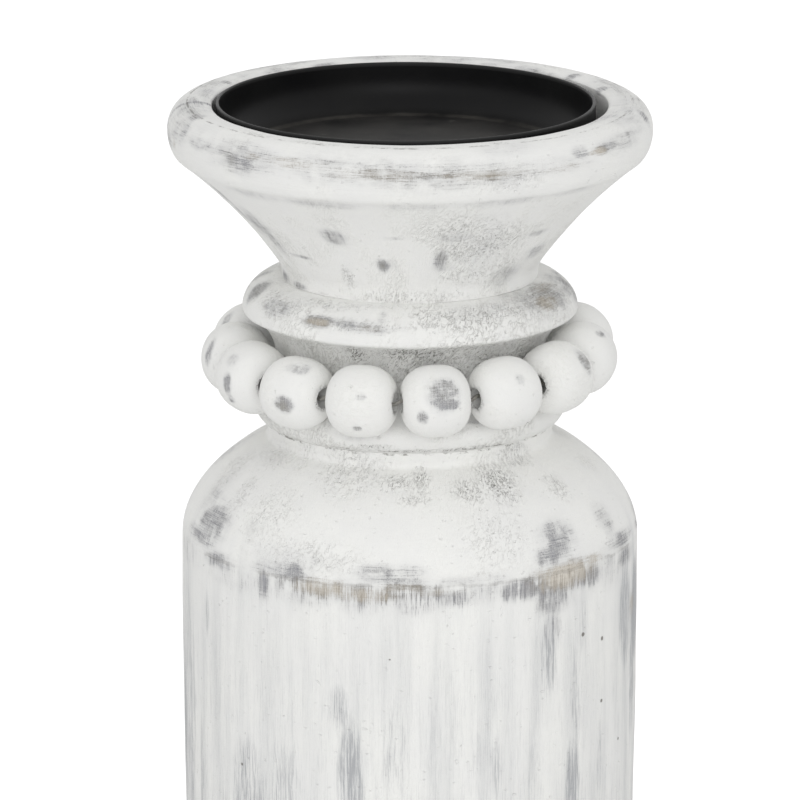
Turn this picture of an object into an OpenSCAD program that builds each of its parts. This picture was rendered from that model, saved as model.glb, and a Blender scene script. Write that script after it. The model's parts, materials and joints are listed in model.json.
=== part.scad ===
// Turned wooden candlestick with a strand of wooden beads threaded round its neck.
// Millimetres. +Z is up, and the origin is on the table, under the middle of the foot.

/* [Felt pads] */
// Number of felt pads under the foot
pad_count = 4; // [3:1:8]
// Diameter of one pad
pad_d = 18; // [12:0.5:22]
// Thickness of the felt
pad_t = 2; // [1:0.25:4]
// Distance of the pads' middles from the edge of the foot's flat underside
pad_inset = 13.5; // [11.5:0.5:20]

/* [Foot] */
// How far the foot stands out beyond the body
foot_spread = 7.2; // [5:0.1:14]
// Radius of the roll that edges the foot
foot_roll_r = 6.5; // [4:0.25:8]
// Height of the hollow moulding above the roll
foot_cove_h = 9; // [5:0.5:14]
// How far the hollow moulding spreads beyond the body
foot_cove_w = 4.2; // [2:0.1:4.8]

/* [Body] */
// Radius of the body where its wall meets the dome
body_r = 60.2; // [56:0.1:64]
// How much narrower the body is where it stands on the foot
body_taper = 3.4; // [0:0.1:8]
// How far the wall bulges beyond a straight line from foot to dome
body_swell = 1; // [0:0.1:3]
// Height of the wall
body_wall_h = 165.5; // [100:0.5:260]
// Height of the dome, were it not cut by the neck
dome_h = 34.8; // [24:0.1:45]
// Fullness of the dome, 2 for a plain ellipse and less for a leaner one
dome_power = 1.87; // [1.7:0.01:2.4]
// Height of the short neck that carries the spool
neck_rise = 4.5; // [3:0.1:8]
// Radius of the fillet at the foot of that neck
neck_fillet = 1.5; // [0.5:0.1:2.5]

/* [Spool] */
// How much larger the round of the hollow is than the round of a bead, on the radius
cove_room = 4; // [3.9:0.1:6]
// How far the collar's underside lies below the top of that round
cove_cut = 1.7; // [0.5:0.1:3]
// How far the hollow is cut in from the edge of the roll below it
cove_depth = 5.6; // [4:0.1:8]
// Radius of the round of that roll
roll_r = 4.7; // [3:0.1:6]
// How far the roll stands out beyond the glued joint with the body
roll_w = 3.4; // [2:0.1:4.5]
// How far the collar stands out beyond the narrowest line of the hollow
collar_out = 8.8; // [6.5:0.1:12]
// Height of the collar's rounded top
collar_rise = 8.6; // [6:0.1:12]
// Height of the collar's lower lip
lip_h = 1.3; // [0.8:0.1:3]
// How far the lip turns in under the collar
lip_w = 1.5; // [0.8:0.1:2.5]

/* [Bowl] */
// Radius of the glued joint between spool and bowl
bowl_joint_r = 33.6; // [28:0.1:36]
// Height of the short neck under the cone
bowl_neck_h = 3; // [1:0.1:6]
// Height of the hollow cone
cone_h = 29.4; // [20:0.1:45]
// How far the cone is hollowed inwards from a straight line
cone_hollow = 1.6; // [0:0.1:3]
// How far the rim turns in, from its widest line down to the crease
rim_tuck = 2; // [0.8:0.1:4]
// Width of the small step where the rim overhangs the cone
crease_step = 0.6; // [0.2:0.1:1.2]
// Height from the crease up to the rim's widest line
rim_low_h = 7.1; // [4:0.1:10]
// Height from the widest line up to the rim's crest
rim_top_h = 7; // [4:0.1:10]
// Width of the rim from its crest out to its widest line
rim_out_w = 6.6; // [4.5:0.1:10]
// Width of the rim from the recess out to its crest
rim_in_w = 5; // [3:0.1:8]
// Radius of the recess that holds the cup
recess_r = 51.9; // [48:0.1:60]
// Depth of the recess below the crest
recess_depth = 14.2; // [12.5:0.1:18]
// How far the rim falls from its crest to the mouth of the recess
mouth_drop = 1.3; // [0.5:0.1:2.5]

/* [Cup] */
// Play between the cup and the wall of the recess
cup_play = 2.2; // [1.6:0.1:3]
// How far the loose cup lies to the left in its recess
cup_shift_x = -1.1; // [-1.1:0.1:1.1]
// How far the loose cup lies to the back of its recess
cup_shift_y = 0.6; // [-1.1:0.1:1.1]
// Thickness of the cup's sheet metal
cup_t = 0.9; // [0.5:0.05:1.5]
// How far the cup's edge lies below the crest of the rim
cup_sink = 0.3; // [0:0.1:2]
// Outside radius of the corner between the cup's wall and floor
cup_corner_r = 9.2; // [4:0.1:10]

/* [Bead strand] */
// Number of beads on the cord
bead_count = 15; // [13:1:17]
// Diameter of a bead across its bore
bead_d = 18.8; // [15:0.1:20]
// Length of a bead along its bore, before the bore cuts its ends
bead_len = 18.3; // [16.5:0.1:20]
// Squareness of a bead, 2 for an ellipsoid and more for a barrel
bead_power = 2.25; // [2:0.01:2.4]
// Diameter of the bore through a bead
bead_bore_d = 5.2; // [4.8:0.1:6.5]
// Room that a bead has along the cord, beyond its own length
bead_room = 0.66; // [0.4:0.01:2]
// Play between the beads and the narrowest line of the spool's hollow
strand_play = 0.9; // [0.5:0.1:1.2]
// Angle at which the loose strand lies, off level
strand_slant_angle = 2.4; // [0:0.1:2.4]
// Angle from +X round to the strand's lowest point
strand_low_angle = -117; // [-180:1:180]
// Angle from +X round to the first bead
first_bead_angle = -81.8; // [-180:0.1:180]
// Diameter of the cord
cord_d = 2; // [1:0.1:2.2]
// Diameter of the knot that closes the cord
knot_d = 3.5; // [2.6:0.1:3.8]
// Distance between the two turns of the knot
knot_pitch = 1.4; // [0.6:0.1:2]

/* [Dowels] */
// Diameter of the two dowels in the neck
neck_dowel_d = 12; // [8:0.5:20]
// Depth to which a dowel stands in the bowl
dowel_in_bowl = 18; // [10:0.5:24]
// Depth to which each dowel stands in the spool
dowel_in_spool = 15; // [8:0.5:17]
// Depth to which the spool's dowel stands in the body
dowel_in_body = 22; // [12:0.5:40]
// Diameter of the dowel between body and foot
foot_dowel_d = 16; // [10:0.5:30]
// Depth to which it stands in the foot
dowel_in_foot = 14; // [8:0.5:16]
// Depth to which it stands in the body
foot_dowel_in_body = 24; // [12:0.5:40]
// Width of the chamfer on a dowel's ends
dowel_chamfer = 1; // [0.5:0.1:2]
// Glue gap round a dowel, on the radius
glue_gap = 0.05; // [0.02:0.01:0.2]
// Space left for glue at a dowel's end
glue_well = 1; // [0.5:0.1:2]

/* [Hidden] */
paint = "whitesmoke";
bare_wood = "burlywood";
felt_grey = "dimgray";
cup_black = [0.10, 0.10, 0.10];
cord_white = "gainsboro";

// Facets of a full circle, and steps along a quarter of a turned curve
turn_fn = 128;
curve_steps = 16;
// Overlap that makes a cut run clean through a face
cut = 1;

// Strand: a circle of beads that nearly touch, and a cord that runs halfway between the
// beads' middles and the crossings of neighbouring bores
bead_step = 360 / bead_count;
strand_r = (bead_len + bead_room) / 2 / sin(bead_step / 2);
cord_ring_r = (strand_r + strand_r / cos(bead_step / 2)) / 2;

// Radii of the turned pieces: the spool is turned to suit the strand, the bowl to suit the cup
cove_waist_r = strand_r - bead_d / 2 - strand_play;
cove_r = bead_d / 2 + cove_room;
roll_out_r = cove_waist_r + cove_depth;
neck_joint_r = roll_out_r - roll_w;
collar_r = cove_waist_r + collar_out;
body_low_r = body_r - body_taper;
foot_r = body_low_r + foot_spread;
crest_r = recess_r + rim_in_w;
rim_r = crest_r + rim_out_w;
crease_r = rim_r - rim_tuck;
cup_r = recess_r - cup_play;
cup_h = recess_depth - cup_sink;

// Levels, from the table up
foot_z = pad_t;
body_z = foot_z + 2 * foot_roll_r + foot_cove_h;
dome_z = body_z + body_wall_h;
neck_foot_r = neck_joint_r + neck_fillet;
neck_foot_z = dome_z + dome_height_at(neck_foot_r);
spool_z = neck_foot_z + neck_rise;
roll_mid_r = roll_out_r - roll_r;
roll_z = spool_z + sqrt(pow(roll_r, 2) - pow(neck_joint_r - roll_mid_r, 2));
// The hollow runs smoothly into the roll, so their centres lie the sum of their radii apart
cove_mid_r = cove_waist_r + cove_r;
cove_z = roll_z + sqrt(pow(cove_r + roll_r, 2) - pow(cove_mid_r - roll_mid_r, 2));
roll_turn = atan2(cove_z - roll_z, cove_mid_r - roll_mid_r);
collar_under_z = cove_z + cove_r - cove_cut;
collar_z = collar_under_z + lip_h;
bowl_z = collar_z + collar_rise;
cone_z = bowl_z + bowl_neck_h;
crease_z = cone_z + cone_h;
rim_z = crease_z + rim_low_h;
crest_z = rim_z + rim_top_h;
recess_z = crest_z - recess_depth;
strand_z = cove_z;

function two_digits(i) = i < 10 ? str("0", i) : str(i);
function bead_name(i) = str("bead_", two_digits(i));
// Height of the dome's surface above its own base, at radius r
function dome_height_at(r) = dome_h * pow(1 - pow(r / body_r, dome_power), 1 / dome_power);
// Points along an ellipse's arc, from angle a0 to a1
function arc(cx, cz, rx, rz, a0, a1) = [
    for (i = [0:curve_steps])
        let (a = a0 + (a1 - a0) * i / curve_steps)
        [cx + rx * cos(a), cz + rz * sin(a)]
];
// Points of a shallow bow from p to q, which leaves the straight line by up to rise on its right
function bow(p, q, rise) = let (
    run = norm(q - p),
    across = [q[1] - p[1], p[0] - q[0]] / run
) [
    for (i = [0:curve_steps])
        let (t = i / curve_steps)
        p + t * (q - p) + 4 * rise * t * (1 - t) * across
];

// A solid turned from a half outline
module turned(points) {
    rotate_extrude($fn = turn_fn) polygon(points);
}

// A blind bore for a dowel, with its mouth at level z and its depth going up or down
module dowel_bore(d, z, depth, up) {
    translate([0, 0, up ? z - cut : z - depth - glue_well])
        cylinder(d = d + 2 * glue_gap, h = depth + glue_well + cut, $fn = turn_fn);
}

// A dowel with chamfered ends, from level z0 to z1
module dowel(d, z0, z1) {
    color(bare_wood)
        turned([
            [0, z0],
            [d / 2 - dowel_chamfer, z0],
            [d / 2, z0 + dowel_chamfer],
            [d / 2, z1 - dowel_chamfer],
            [d / 2 - dowel_chamfer, z1],
            [0, z1]
        ]);
}

// Round felt pads, stuck under the foot
module felt_pads() {
    color(felt_grey)
        for (i = [0:pad_count - 1])
            rotate([0, 0, 360 * (i + 0.5) / pad_count])
                translate([foot_r - foot_roll_r - pad_inset, 0, 0])
                    cylinder(d = pad_d, h = pad_t, $fn = 64);
}

// The foot: a turned disc edged with a roll, a small step and a hollow that rises to the body
module foot() {
    roll_mid = foot_r - foot_roll_r;
    roll_top = foot_z + 2 * foot_roll_r;
    step_r = body_low_r + foot_cove_w;
    color(paint)
        difference() {
            rotate_extrude($fn = turn_fn) union() {
                translate([roll_mid, foot_z + foot_roll_r]) circle(r = foot_roll_r, $fn = turn_fn);
                translate([0, foot_z]) square([roll_mid, 2 * foot_roll_r]);
                translate([0, foot_z + foot_roll_r]) square([step_r, foot_roll_r]);
                polygon(concat(
                    [[0, roll_top]],
                    arc(step_r, body_z, foot_cove_w, foot_cove_h, -90, -180),
                    [[0, body_z]]
                ));
            }
            dowel_bore(foot_dowel_d, body_z, dowel_in_foot, false);
        }
}

// The body: a full cylinder that swells a little, closed by a dome with a short neck
module body() {
    dome_end = acos(pow(neck_foot_r / body_r, dome_power / 2));
    color(paint)
        difference() {
            turned(concat(
                [[0, body_z]],
                bow([body_low_r, body_z], [body_r, dome_z], body_swell),
                [
                    for (i = [1:2 * curve_steps])
                        let (a = dome_end * i / (2 * curve_steps))
                        [
                            body_r * pow(cos(a), 2 / dome_power),
                            dome_z + dome_h * pow(sin(a), 2 / dome_power)
                        ]
                ],
                arc(neck_foot_r, neck_foot_z + neck_fillet, neck_fillet, neck_fillet, -90, -180),
                [[neck_joint_r, spool_z], [0, spool_z]]
            ));
            dowel_bore(foot_dowel_d, body_z, foot_dowel_in_body, true);
            dowel_bore(neck_dowel_d, spool_z, dowel_in_body, false);
        }
}

// Half outline of the spool: roll, hollow and collar, turned in one piece
module spool_outline() {
    roll_start = -acos((neck_joint_r - roll_mid_r) / roll_r);
    cove_end = 180 - asin((collar_under_z - cove_z) / cove_r);
    polygon(concat(
        [[0, spool_z]],
        arc(roll_mid_r, roll_z, roll_r, roll_r, roll_start, roll_turn),
        arc(cove_mid_r, cove_z, cove_r, cove_r, 180 + roll_turn, cove_end),
        arc(collar_r - lip_w, collar_z, lip_w, lip_h, -90, 0),
        arc(bowl_joint_r, collar_z, collar_r - bowl_joint_r, collar_rise, 0, 90),
        [[0, bowl_z]]
    ));
}

// The spool: it joins the bowl to the body, and the bead strand lies in its hollow
module spool() {
    color(paint)
        difference() {
            rotate_extrude($fn = turn_fn) spool_outline();
            dowel_bore(neck_dowel_d, spool_z, dowel_in_spool, true);
            dowel_bore(neck_dowel_d, bowl_z, dowel_in_spool, false);
        }
}

// The bowl: a hollow-sided cone under a rounded rim, recessed for the cup
module bowl() {
    // Turn of the lower rim's ellipse at which it has come in to the crease
    crease_turn = acos((crease_r - crest_r) / rim_out_w);
    color(paint)
        difference() {
            turned(concat(
                [[0, bowl_z], [bowl_joint_r, bowl_z]],
                bow([bowl_joint_r, cone_z], [crease_r - crease_step, crease_z], -cone_hollow),
                arc(crest_r, rim_z, rim_out_w, rim_low_h / sin(crease_turn), -crease_turn, 0),
                arc(crest_r, rim_z, rim_out_w, rim_top_h, 0, 90),
                arc(crest_r, crest_z - mouth_drop, rim_in_w, mouth_drop, 90, 180),
                [[recess_r, recess_z], [0, recess_z]]
            ));
            dowel_bore(neck_dowel_d, bowl_z, dowel_in_bowl, true);
        }
}

// Half outline of a dish with a flat floor, a round corner and an upright wall
module dish_outline(r, z0, z1, corner) {
    intersection() {
        translate([0, z0]) square([r, z1 - z0]);
        union() {
            translate([0, z0]) square([r - corner, corner]);
            translate([r - corner, z0 + corner]) circle(r = corner, $fn = turn_fn);
            translate([0, z0 + corner]) square([r, z1 - z0]);
        }
    }
}

// The cup: a pressed sheet-metal pan with a rounded edge, loose in the bowl
module cup() {
    lip_z = recess_z + cup_h - cup_t / 2;
    color(cup_black)
        translate([cup_shift_x, cup_shift_y, 0])
            rotate_extrude($fn = turn_fn) union() {
                difference() {
                    dish_outline(cup_r, recess_z, lip_z, cup_corner_r);
                    dish_outline(cup_r - cup_t, recess_z + cup_t, lip_z + cut, cup_corner_r - cup_t);
                }
                translate([cup_r - cup_t / 2, lip_z]) circle(d = cup_t, $fn = 32);
            }
}

// The three glued dowels
module foot_dowel() {
    dowel(foot_dowel_d, body_z - dowel_in_foot, body_z + foot_dowel_in_body);
}

module spool_dowel() {
    dowel(neck_dowel_d, spool_z - dowel_in_body, spool_z + dowel_in_spool);
}

module bowl_dowel() {
    dowel(neck_dowel_d, bowl_z - dowel_in_spool, bowl_z + dowel_in_bowl);
}

// Places its children on the slanting strand, in direction dir and at radius r from its middle,
// with +Z turned along the cord
module on_strand(dir, r) {
    translate([0, 0, strand_z])
        rotate([0, 0, strand_low_angle])
            rotate([0, strand_slant_angle, 0])
                rotate([0, 0, dir - strand_low_angle])
                    translate([r, 0, 0])
                        rotate([-90, 0, 0])
                            children();
}

// One bead: a barrel-shaped wooden ball, bored through
module bead(i) {
    steps = 2 * curve_steps;
    color(paint)
        on_strand(first_bead_angle + (i - 1) * bead_step, strand_r)
            difference() {
                turned([
                    for (k = [0:steps])
                        let (a = 180 * k / steps - 90, side = a < 0 ? -1 : 1)
                        [
                            bead_d / 2 * pow(abs(cos(a)), 2 / bead_power),
                            side * bead_len / 2 * pow(abs(sin(a)), 2 / bead_power)
                        ]
                ]);
                translate([0, 0, -bead_len / 2 - cut])
                    cylinder(d = bead_bore_d, h = bead_len + 2 * cut, $fn = 64);
            }
}

// The cord: a closed loop through all the beads, knotted opposite the first bead
module bead_cord() {
    color(cord_white) {
        translate([0, 0, strand_z])
            rotate([0, 0, strand_low_angle])
                rotate([0, strand_slant_angle, 0])
                    rotate_extrude($fn = turn_fn)
                        translate([cord_ring_r, 0]) circle(d = cord_d, $fn = 32);
        for (side = [-1, 1])
            on_strand(first_bead_angle + (floor(bead_count / 2) + 0.5) * bead_step, cord_ring_r)
                translate([0, 0, side * knot_pitch / 2])
                    sphere(d = knot_d, $fn = 32);
    }
}

foot();
body();
spool();
bowl();
cup();
foot_dowel();
spool_dowel();
bowl_dowel();
felt_pads();
bead_cord();
for (i = [1:bead_count]) bead(i);
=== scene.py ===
# Turned wooden candlestick in worn white paint, with a strand of wooden beads round its neck.
# Metres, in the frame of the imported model. The sections follow the piece from the table up.
import json
import math
import random
from collections import namedtuple

import bpy
import numpy as np
from mathutils import Matrix, Vector


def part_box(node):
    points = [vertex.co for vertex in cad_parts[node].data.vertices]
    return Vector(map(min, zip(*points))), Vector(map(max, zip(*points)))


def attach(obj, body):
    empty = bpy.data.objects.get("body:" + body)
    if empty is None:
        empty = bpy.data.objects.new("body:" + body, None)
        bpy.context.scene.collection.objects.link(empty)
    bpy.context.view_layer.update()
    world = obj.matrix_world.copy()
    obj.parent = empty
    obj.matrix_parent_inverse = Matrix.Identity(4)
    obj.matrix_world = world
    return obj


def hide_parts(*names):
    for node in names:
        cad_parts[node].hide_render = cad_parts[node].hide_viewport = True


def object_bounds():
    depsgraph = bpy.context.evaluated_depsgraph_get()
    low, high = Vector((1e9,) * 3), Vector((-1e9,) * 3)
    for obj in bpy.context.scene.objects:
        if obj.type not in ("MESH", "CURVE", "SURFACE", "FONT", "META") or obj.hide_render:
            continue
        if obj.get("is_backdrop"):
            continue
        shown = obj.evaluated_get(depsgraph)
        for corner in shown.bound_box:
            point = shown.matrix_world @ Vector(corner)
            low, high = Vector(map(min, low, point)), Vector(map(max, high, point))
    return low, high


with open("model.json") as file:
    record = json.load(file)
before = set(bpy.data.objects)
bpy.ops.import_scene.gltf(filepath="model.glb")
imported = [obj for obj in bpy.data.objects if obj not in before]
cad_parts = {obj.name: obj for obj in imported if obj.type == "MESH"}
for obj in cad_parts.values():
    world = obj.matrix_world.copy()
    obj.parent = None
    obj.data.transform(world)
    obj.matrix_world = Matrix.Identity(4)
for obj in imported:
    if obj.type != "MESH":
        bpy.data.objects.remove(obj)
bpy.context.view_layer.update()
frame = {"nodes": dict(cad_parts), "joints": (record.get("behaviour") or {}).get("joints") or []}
MM = 0.001


# ---------------------------------------------------------------- felt pads
# Four round pads of pressed grey wool felt, punched from sheet and stuck under the foot.
# Their cut edges are fuzzy and their soles are pressed a little flat.
class Socket:
    """A node's output, on which Python's own operators add Math nodes."""

    def __init__(self, tree, output=None):
        self.tree = tree
        self.output = output

    def node(self, kind, inputs=None, output=0, **settings):
        """Adds any node: first its settings, then the values or links of its inputs."""
        made = self.tree.nodes.new("ShaderNode" + kind)
        for name, value in settings.items():
            setattr(made, name, value)
        for key, value in (inputs or {}).items():
            if isinstance(value, Socket):
                self.tree.links.new(value.output, made.inputs[key])
            else:
                made.inputs[key].default_value = value
        return Socket(self.tree, made.outputs[output]) if made.outputs else None

    def math(self, operation, other=0.0):
        return self.node("Math", {0: self, 1: other}, operation=operation)

    def __add__(self, other):
        return self.math("ADD", other)

    def __sub__(self, other):
        return self.math("SUBTRACT", other)

    def __rsub__(self, other):
        return self * -1.0 + other

    def __mul__(self, other):
        return self.math("MULTIPLY", other)

    __radd__ = __add__
    __rmul__ = __mul__

    def rise(self, low, high):
        """0 below low and 1 above high, with a smooth rise between them."""
        limits = {"Value": self, "From Min": low, "From Max": high}
        return self.node("MapRange", limits, interpolation_type="SMOOTHSTEP")

    def stretched(self, across, up):
        """A position, scaled by across on X and Y and by up on Z."""
        scale = (across, across, up)
        return self.node("VectorMath", {0: self, 1: scale}, operation="MULTIPLY")

    def noise(self, detail, roughness):
        """Soft noise around 0.5, about one unit of the position wide."""
        look = {"Vector": self, "Scale": 1.0, "Detail": detail, "Roughness": roughness}
        return self.node("TexNoise", look)

    def blend(self, under, over):
        """The colour under, covered by the colour over as far as this mask says."""
        # The Mix node's colours are its inputs 6 and 7 and its output 2
        return self.node("Mix", {0: self, 6: under, 7: over}, output=2, data_type="RGBA")


def colour(red, green, blue):
    """A colour written as 0 to 255 on screen, as a shader takes it."""
    def linear(value):
        share = value / 255
        if share <= 0.04045:
            return share / 12.92
        return ((share + 0.055) / 1.055) ** 2.4

    return (linear(red), linear(green), linear(blue), 1.0)


def start_finish(name):
    """A new empty material, and its node tree as a Socket."""
    material = bpy.data.materials.new(name)
    material.use_nodes = True
    material.node_tree.nodes.clear()
    return material, Socket(material.node_tree)


def close_finish(material, tree, base, roughness, height, depth, extra=None, strength=1.0):
    """Adds the shader, with a bump of that height and depth, and gives the material back."""
    bump = tree.node("Bump", {"Height": height, "Strength": strength, "Distance": depth})
    inputs = {"Base Color": base, "Roughness": roughness, "Normal": bump, **(extra or {})}
    shader = tree.node("BsdfPrincipled", inputs)
    tree.node("OutputMaterial", {"Surface": shader})
    return material


def dress(piece, material, body, slot, *nodes):
    """Gives a finished piece its material, hangs it on the body it rides on, and hides the parts it
    stands for.
    """
    piece.data.materials.clear()
    piece.data.materials.append(material)
    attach(piece, body)
    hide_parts(*nodes)


def choose(*pieces):
    """Selects these pieces and nothing else, and makes the first one active."""
    bpy.ops.object.select_all(action="DESELECT")
    for piece in pieces:
        piece.select_set(True)
    if pieces:
        bpy.context.view_layer.objects.active = pieces[0]


def apply_modifiers(piece):
    """Applies all of a piece's modifiers, the first one first."""
    choose(piece)
    for modifier in list(piece.modifiers):
        bpy.ops.object.modifier_apply(modifier=modifier.name)


def wrinkle(piece, name, size, depth):
    """Adds a Displace modifier with a soft random pattern of that size and depth."""
    pattern = bpy.data.textures.new(name, "CLOUDS")
    pattern.noise_scale = size
    modifier = piece.modifiers.new(name, "DISPLACE")
    modifier.texture = pattern
    modifier.texture_coords = "LOCAL"
    modifier.mid_level = 0.5
    modifier.strength = depth


def felt_finish():
    material, tree = start_finish("grey_felt")
    place = tree.node("TexCoord", output="Object")
    fibres = place.stretched(2600, 2600).noise(4.0, 0.7)
    tufts = place.stretched(500, 500).noise(2.0, 0.5)
    tone = (fibres * 0.7 + tufts * 0.3).rise(0.35, 0.65)
    felt = tone.blend(colour(88, 88, 90), colour(128, 127, 126))
    fuzz = {"Sheen Weight": 0.4, "Sheen Roughness": 0.6}
    return close_finish(material, tree, felt, 0.95, fibres, 0.4 * MM, fuzz, strength=0.6)


def make_felt_pads():
    fuzz_room = 0.15 * MM
    edge_round = 0.45 * MM
    ring_width = 1.1 * MM
    low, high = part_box("felt_pads")
    thick = high.z - low.z
    source = frame["nodes"]["felt_pads"].data
    corners = np.array([v.co for v in source.vertices])
    pads = []
    # The pads lie on the diagonals, one in each quarter
    for side_x in (-1, 1):
        for side_y in (-1, 1):
            own = corners[(corners[:, 0] * side_x > 0) & (corners[:, 1] * side_y > 0)]
            middle = (own.min(0) + own.max(0)) / 2
            radius = (own[:, 0].max() - own[:, 0].min()) / 2
            choose()
            bpy.ops.mesh.primitive_cylinder_add(
                vertices=96, radius=radius - fuzz_room, depth=thick, location=middle,
                end_fill_type="NGON")
            pad = bpy.context.object
            bpy.ops.object.transform_apply(location=True)
            bpy.ops.object.mode_set(mode="EDIT")
            bpy.ops.mesh.select_all(action="SELECT")
            bpy.ops.mesh.bevel(offset=edge_round, segments=3, affect="EDGES")
            bpy.ops.mesh.select_all(action="DESELECT")
            bpy.ops.mesh.select_mode(type="FACE")
            bpy.ops.mesh.select_face_by_sides(number=4, type="GREATER")
            # The fuzz needs rings of small faces
            for ring in range(6):
                bpy.ops.mesh.inset(thickness=ring_width, depth=0)
            bpy.ops.object.mode_set(mode="OBJECT")
            pads.append(pad)
    choose(*pads)
    bpy.ops.object.join()
    joined = bpy.context.object
    joined.name = "wool_felt_pads"
    wrinkle(joined, "felt_fuzz", size=0.8 * MM, depth=0.12 * MM)
    apply_modifiers(joined)
    # The soles are pressed flat on the table
    for vertex in joined.data.vertices:
        vertex.co.z = min(max(vertex.co.z, low.z), high.z)
    bpy.ops.object.shade_smooth_by_angle(angle=math.radians(50))
    return joined


felt_pads = make_felt_pads()
dress(felt_pads, felt_finish(), "stand", "felt", "felt_pads")


# ---------------------------------------------------------------- foot
# The turned disc on which everything stands: a roll at the edge, a small step and a hollow
# that rises to the body. Softwood, turned on a lathe, painted grey, then white, and rubbed.
def lone_copy(node, name, on_lathe):
    """A new object with its own copy of a CAD node's mesh, moved as on_lathe says."""
    mesh = frame["nodes"][node].data.copy()
    mesh.transform(on_lathe)
    piece = bpy.data.objects.new(name, mesh)
    bpy.context.collection.objects.link(piece)
    return piece


def cut_to_outline(piece):
    """Leaves only the outline that the solid shows where the XZ plane cuts it, on the +X side."""
    choose(piece)
    bpy.ops.object.mode_set(mode="EDIT")
    bpy.ops.mesh.select_all(action="SELECT")
    bpy.ops.mesh.remove_doubles(threshold=0.002 * MM)
    bpy.ops.mesh.bisect(plane_co=(0, 0, 0), plane_no=(0, 1, 0), clear_inner=True, clear_outer=True)
    bpy.ops.mesh.select_all(action="SELECT")
    bpy.ops.mesh.bisect(plane_co=(0, 0, 0), plane_no=(1, 0, 0), clear_inner=True)
    bpy.ops.mesh.select_all(action="SELECT")
    bpy.ops.mesh.remove_doubles(threshold=0.02 * MM)
    bpy.ops.object.mode_set(mode="OBJECT")


def halve_long_edges(piece, spacing, core):
    """Halves the outline's edges until all that lie outside the core are short."""
    mesh = piece.data
    while True:
        place = [v.co for v in mesh.vertices]
        lengths = [(place[e.vertices[0]] - place[e.vertices[1]]).length for e in mesh.edges]
        seen = [min(place[i].x for i in e.vertices) >= core for e in mesh.edges]
        chosen = [length > spacing and shown for length, shown in zip(lengths, seen)]
        if not any(chosen):
            return
        mesh.vertices.foreach_set("select", [False] * len(mesh.vertices))
        mesh.edges.foreach_set("select", chosen)
        bpy.ops.object.mode_set(mode="EDIT")
        bpy.ops.mesh.select_mode(type="EDGE")
        bpy.ops.mesh.subdivide(number_cuts=1)
        bpy.ops.object.mode_set(mode="OBJECT")


def outline_order(mesh):
    """The outline's vertices, walked from its upper end to its lower one."""
    neighbours = {v.index: [] for v in mesh.vertices}
    for edge in mesh.edges:
        first, second = edge.vertices
        neighbours[first].append(second)
        neighbours[second].append(first)
    # A piece that is bored right through has a closed outline, which is walked from its bore
    ends = [i for i, linked in neighbours.items() if len(linked) == 1]
    bore = min(v.co.x for v in mesh.vertices) + 0.01 * MM
    ends = ends or [v.index for v in mesh.vertices if v.co.x < bore]
    order = [max(ends, key=lambda i: mesh.vertices[i].co.z)]
    walked = set(order)
    while True:
        onward = [i for i in neighbours[order[-1]] if i not in walked]
        if not onward:
            return order
        outermost = max(onward, key=lambda i: mesh.vertices[i].co.x)
        order.append(outermost)
        walked.add(outermost)


def ease_curves(path, core):
    """Smooths the outline where it curves and leaves its corners sharp."""
    corner = math.radians(11)
    eased = [place.copy() for place in path]
    for k in range(1, len(path) - 1):
        before, after = path[k] - path[k - 1], path[k + 1] - path[k]
        if path[k].x > core and before.angle(after, 0.0) < corner:
            eased[k] = path[k].lerp((path[k - 1] + path[k + 1]) / 2, 0.5)
    return eased


def turned_copy(node, name, spacing, steps, core, on_lathe=Matrix.Identity(4)):
    """Turns a new piece, evenly meshed, from the outline of a CAD node, as a lathe would.

    Wood nearer to the axis than core is never seen, and keeps a coarse mesh. Each point gets
    "wrap", its place in millimetres round the piece and down its outline, counted from the
    first edge outside the core. The paint's patterns follow it.
    """
    piece = lone_copy(node, name, on_lathe)
    mesh = piece.data
    cut_to_outline(piece)
    halve_long_edges(piece, spacing, core)
    order = outline_order(mesh)
    path = [mesh.vertices[i].co.copy() for i in order]
    runs = [0.0]
    for before, after in zip(path, path[1:]):
        runs.append(runs[-1] + (after - before).length / MM)
    start = next(run for run, place in zip(runs, path) if place.x > core)
    down = mesh.attributes.new("down", "FLOAT", "POINT")
    for repeat in range(3):
        path = ease_curves(path, core)
    for i, run, place in zip(order, runs, path):
        down.data[i].value = run - start
        mesh.vertices[i].co = place

    bpy.ops.object.mode_set(mode="EDIT")
    bpy.ops.mesh.select_mode(type="VERT")
    bpy.ops.mesh.select_all(action="SELECT")
    bpy.ops.mesh.spin(steps=steps, angle=math.tau, center=(0, 0, 0), axis=(0, 0, 1))
    bpy.ops.mesh.select_all(action="SELECT")
    bpy.ops.mesh.remove_doubles(threshold=0.002 * MM)
    bpy.ops.mesh.normals_make_consistent(inside=False)
    bpy.ops.object.mode_set(mode="OBJECT")

    place = points_of(mesh)
    turn = np.arctan2(place[:, 1], place[:, 0])
    girth = np.hypot(place[:, 0], place[:, 1]).max() / MM
    drop = np.zeros(len(place))
    mesh.attributes["down"].data.foreach_get("value", drop)
    mesh.attributes.remove(mesh.attributes["down"])
    wrap = np.stack([girth * np.cos(turn), girth * np.sin(turn), drop], axis=1)
    mesh.attributes.new("wrap", "FLOAT_VECTOR", "POINT").data.foreach_set("vector", wrap.ravel())
    bpy.ops.object.shade_smooth_by_angle(angle=math.radians(35))
    return piece


def points_of(mesh):
    """The mesh's points as rows of X, Y and Z."""
    place = np.zeros(len(mesh.vertices) * 3)
    mesh.vertices.foreach_get("co", place)
    return place.reshape(-1, 3)


def wrap_of(mesh):
    """The "wrap" of each of the mesh's points, as rows."""
    wrap = np.zeros(len(mesh.vertices) * 3)
    mesh.attributes["wrap"].data.foreach_get("vector", wrap)
    return wrap.reshape(-1, 3)


# The kinds of wear that a piece's "wear" colour holds, as red, green, blue and alpha
WEAR = ("rubbed", "bared", "pitted", "streaked")


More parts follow.
